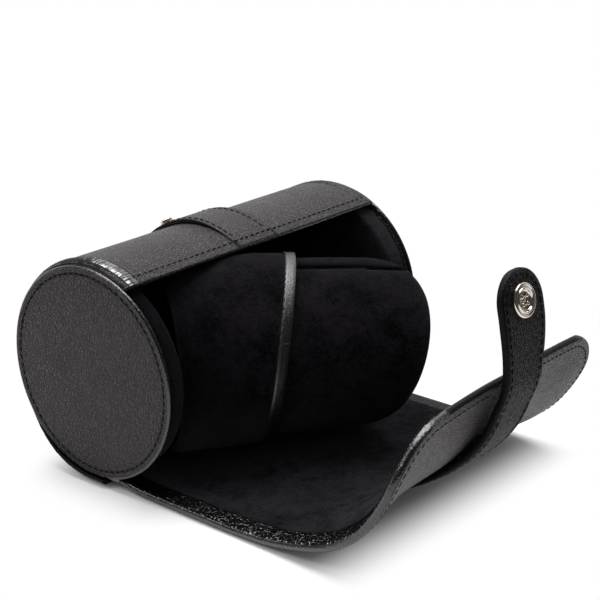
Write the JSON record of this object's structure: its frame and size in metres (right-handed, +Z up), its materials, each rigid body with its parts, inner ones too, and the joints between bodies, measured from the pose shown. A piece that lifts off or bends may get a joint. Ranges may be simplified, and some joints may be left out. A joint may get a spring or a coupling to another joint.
{
  "type": "watch roll",
  "caption": "Round leather watch roll, open, with suede lining, a wrap-round strap that snaps shut and a loose suede sleeve with a sprung cuff.",
  "frame": {"origin": "on the surface that the roll lies on, under the roll's axis at mid-length", "axes": "+X to the front where the flap opens, +Y along the roll from the near cap to the far cap, +Z up"},
  "size_m": [0.186, 0.143, 0.0933],
  "materials": {
    "grain_leather": "grained, satin",
    "strap_leather": "grained, satin",
    "binding_leather": "smooth, satin",
    "suede": "napped, matt",
    "board": "raw board",
    "spring_liner": "suede faced",
    "nickel": "polished"
  },
  "bodies": {
    "case": {"wrap_leather": "grain_leather", "wrap_stiffener": "board", "wrap_lining": "suede", "body_strap": "strap_leather", "snap_stud": "nickel", "near_cap_disc": "grain_leather", "near_cap_core": "board", "near_cap_lining": "suede", "far_cap_disc": "grain_leather", "far_cap_core": "board", "far_cap_lining": "suede"},
    "flap_1": {"flap_leather_1": "grain_leather", "flap_stiffener_1": "board", "flap_lining_1": "suede", "flap_strap_1": "strap_leather"},
    "flap_2": {"flap_leather_2": "grain_leather", "flap_stiffener_2": "board", "flap_lining_2": "suede", "flap_strap_2": "strap_leather"},
    "flap_3": {"flap_leather_3": "grain_leather", "flap_stiffener_3": "board", "flap_lining_3": "suede", "flap_strap_3": "strap_leather"},
    "flap_4": {"flap_leather_4": "grain_leather", "flap_stiffener_4": "board", "flap_lining_4": "suede", "flap_strap_4": "strap_leather"},
    "flap_5": {"flap_leather_5": "grain_leather", "flap_stiffener_5": "board", "flap_lining_5": "suede", "flap_strap_5": "strap_leather"},
    "flap_6": {"flap_leather_6": "grain_leather", "flap_stiffener_6": "board", "flap_lining_6": "suede", "flap_strap_6": "strap_leather"},
    "tab": {"strap_tab": "strap_leather", "snap_cap": "nickel", "snap_socket": "nickel"},
    "insert": {"sleeve_suede": "suede", "sleeve_binding": "binding_leather"},
    "cuff": {"cuff_pad": "suede", "cuff_spring": "spring_liner"}
  },
  "joints": [
    {"name": "flap_curl", "type": "hinge", "parent": "case", "child": "flap_1", "pos_m": [0.0115, 0, 0.0057], "axis": [0, -1, 0], "range_deg": [0, 25]},
    {"name": "flap_bend_2", "type": "hinge", "parent": "flap_1", "child": "flap_2", "pos_m": [0.036, 0, 0.0057], "axis": [0, -1, 0], "range_deg": [0, 26.8]},
    {"name": "flap_bend_3", "type": "hinge", "parent": "flap_2", "child": "flap_3", "pos_m": [0.0605, 0, 0.0057], "axis": [0, -1, 0], "range_deg": [0, 34.4]},
    {"name": "flap_bend_4", "type": "hinge", "parent": "flap_3", "child": "flap_4", "pos_m": [0.085, 0, 0.0057], "axis": [0, -1, 0], "range_deg": [0, 12.8]},
    {"name": "flap_bend_5", "type": "hinge", "parent": "flap_4", "child": "flap_5", "pos_m": [0.1072, 0, 0.01605], "axis": [0, -1, 0], "range_deg": [0, 6.2]},
    {"name": "flap_bend_6", "type": "hinge", "parent": "flap_5", "child": "flap_6", "pos_m": [0.12262, 0, 0.03509], "axis": [0, -1, 0], "range_deg": [0, 3.2]},
    {"name": "tab_press", "type": "hinge", "parent": "flap_6", "child": "tab", "pos_m": [0.13531, 0, 0.0578], "axis": [0, -1, 0], "range_deg": [-45, 24]},
    {"name": "insert_tuck", "type": "hinge", "parent": "flap_1", "child": "insert", "pos_m": [0.01064, -0.01916, 0.0057], "axis": [0, 0, 1], "range_deg": [0, 33]},
    {"name": "cuff_slide", "type": "slide", "parent": "insert", "child": "cuff", "axis": [0.5446, 0.8387, 0], "range_m": [-0.024, 0]}
  ],
  "couplings": [
    {"joint": "flap_bend_2", "follows": "flap_curl", "ratio": 1.072},
    {"joint": "flap_bend_3", "follows": "flap_curl", "ratio": 1.376},
    {"joint": "flap_bend_4", "follows": "flap_curl", "ratio": 0.512},
    {"joint": "flap_bend_5", "follows": "flap_curl", "ratio": 0.248},
    {"joint": "flap_bend_6", "follows": "flap_curl", "ratio": 0.128},
    {"joint": "insert_tuck", "follows": "flap_curl", "ratio": 1.32}
  ]
}
